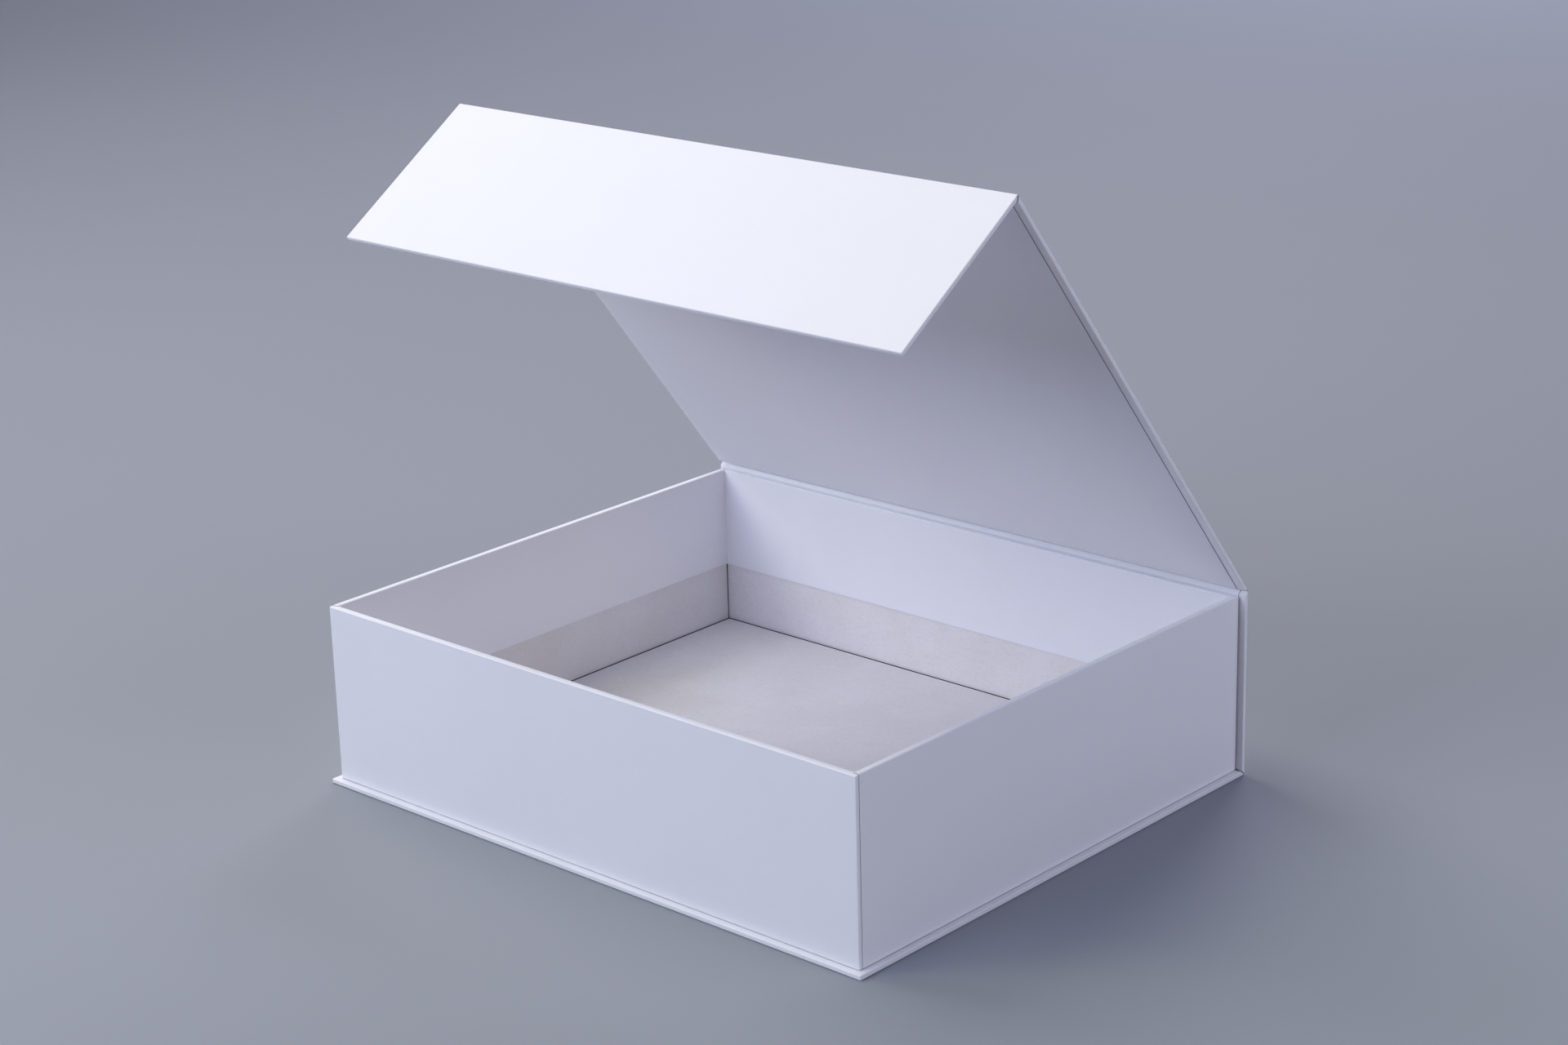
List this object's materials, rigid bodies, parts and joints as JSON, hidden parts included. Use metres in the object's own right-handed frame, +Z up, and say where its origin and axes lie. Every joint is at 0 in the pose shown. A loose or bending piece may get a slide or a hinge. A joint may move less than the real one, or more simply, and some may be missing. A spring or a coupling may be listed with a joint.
{
  "type": "jewelry gift box",
  "caption": "Paper-wrapped rigid gift box: a shallow open tray glued into a hinged case whose lid ends in a magnetic front flap.",
  "frame": {"origin": "centre of the base panel's underside, which is also the centre of the case's footprint", "axes": "+X to the right across the front, +Y from the front flap back to the spine, +Z up"},
  "size_m": [0.306, 0.2554, 0.2859],
  "materials": {
    "case_wrap": "matte",
    "case_liner": "matte",
    "tray_wrap": "matte",
    "greyboard": "matte",
    "stay_paper": "matte",
    "magnet": "satin",
    "steel_disc": "satin"
  },
  "bodies": {
    "tray_and_base": {"base_board": "greyboard", "spine_board": "greyboard", "case_wrap_base": "case_wrap", "case_wrap_spine": "case_wrap", "case_liner_spine": "case_liner", "tray_front_board": "greyboard", "tray_back_board": "greyboard", "tray_left_board": "greyboard", "tray_right_board": "greyboard", "tray_floor_board": "greyboard", "tray_wrap": "tray_wrap", "corner_stay_front_left": "stay_paper", "corner_stay_front_right": "stay_paper", "corner_stay_back_left": "stay_paper", "corner_stay_back_right": "stay_paper", "front_wall_disc_left": "steel_disc", "front_wall_disc_right": "steel_disc"},
    "lid": {"lid_board": "greyboard", "case_wrap_lid": "case_wrap", "case_liner_lid": "case_liner"},
    "flap": {"flap_board": "greyboard", "case_wrap_flap": "case_wrap", "case_liner_flap": "case_liner", "flap_magnet_left": "magnet", "flap_magnet_right": "magnet"}
  },
  "joints": [
    {"name": "lid_hinge", "type": "hinge", "parent": "tray_and_base", "child": "lid", "pos_m": [0, 0.12775, 0.085], "axis": [-1, 0, 0], "range_deg": [-51.9, 128.1]},
    {"name": "flap_hinge", "type": "hinge", "parent": "lid", "child": "flap", "pos_m": [0, -0.0299, 0.28606], "axis": [-1, 0, 0], "range_deg": [-4.2, 85.8]}
  ]
}
